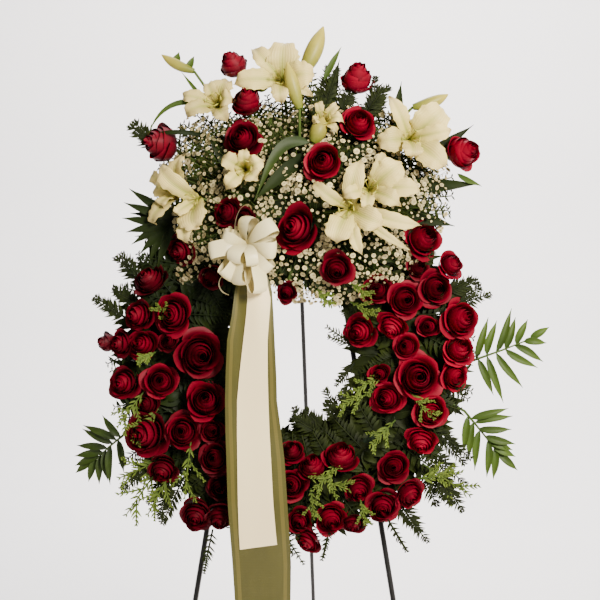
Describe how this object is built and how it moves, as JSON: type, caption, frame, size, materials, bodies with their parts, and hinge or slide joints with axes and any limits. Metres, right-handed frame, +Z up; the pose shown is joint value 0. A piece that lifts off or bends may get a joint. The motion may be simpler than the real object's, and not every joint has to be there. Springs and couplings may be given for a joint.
{
  "type": "funeral wreath on an easel",
  "caption": "Ring wreath of red roses with a top spray of lilies, a satin bow and a hanging sash, leaning on a folding three-legged easel.",
  "frame": {"origin": "on the floor, under the middle of the part's overall box", "axes": "+Z up, the wreath faces -Y, +X to the viewer's right"},
  "size_m": [0.873, 0.7166, 1.6024],
  "materials": {
    "sash_satin": "satin",
    "ribbon_satin": "satin",
    "bow_satin": "satin",
    "rose_petal": "satin",
    "lily_petal": "satin",
    "palm_leaf": "satin",
    "tray_plastic": "satin",
    "greenery": "satin",
    "flower_foam": "matte",
    "floret": "matte",
    "black_steel": "satin",
    "cap_rubber": "matte"
  },
  "bodies": {
    "wreath_and_front_legs": {"sash": "sash_satin", "sash_ribbon": "ribbon_satin", "bow": "bow_satin", "roses_spray_upper": "rose_petal", "roses_spray_upper_2": "rose_petal", "roses_spray_upper_3": "rose_petal", "roses_spray_upper_4": "rose_petal", "roses_spray_upper_5": "rose_petal", "roses_spray_upper_6": "rose_petal", "roses_spray_upper_7": "rose_petal", "roses_spray_upper_8": "rose_petal", "roses_spray_lower": "rose_petal", "roses_spray_lower_2": "rose_petal", "roses_spray_lower_3": "rose_petal", "roses_right_upper": "rose_petal", "roses_right_lower": "rose_petal", "roses_bottom": "rose_petal", "roses_bottom_2": "rose_petal", "roses_bottom_left": "rose_petal", "roses_bottom_left_2": "rose_petal", "roses_left": "rose_petal", "lily_top": "lily_petal", "lily_upper_left": "lily_petal", "lily_left": "lily_petal", "lily_far_left": "lily_petal", "lily_right": "lily_petal", "lily_centre_upper": "lily_petal", "lily_centre_lower": "lily_petal", "lily_half_open": "lily_petal", "palm_right_upper": "palm_leaf", "palm_right_lower": "palm_leaf", "palm_left": "palm_leaf", "tray": "tray_plastic", "greens_right_upper": "greenery", "greens_top": "greenery", "greens_left_upper": "greenery", "greens_left_lower": "greenery", "greens_bottom": "greenery", "greens_right_lower": "greenery", "spray_greens": "greenery", "spray_foam": "flower_foam", "foam_ring": "flower_foam", "breath_left": "floret", "breath_top": "floret", "breath_centre": "floret", "breath_right": "floret", "breath_low": "floret", "leg_left": "black_steel", "foot_cap_left": "cap_rubber", "leg_right": "black_steel", "foot_cap_right": "cap_rubber", "head_block": "black_steel", "hinge_bolt": "black_steel", "hook_left": "black_steel", "hook_right": "black_steel"},
    "back_leg": {"back_leg": "black_steel", "foot_cap_back": "cap_rubber"}
  },
  "joints": [
    {"name": "back_leg_fold", "type": "hinge", "parent": "wreath_and_front_legs", "child": "back_leg", "pos_m": [-0.0335, -0.02458, 1.40173], "axis": [-1, 0, 0], "range_deg": [0, 25]}
  ]
}
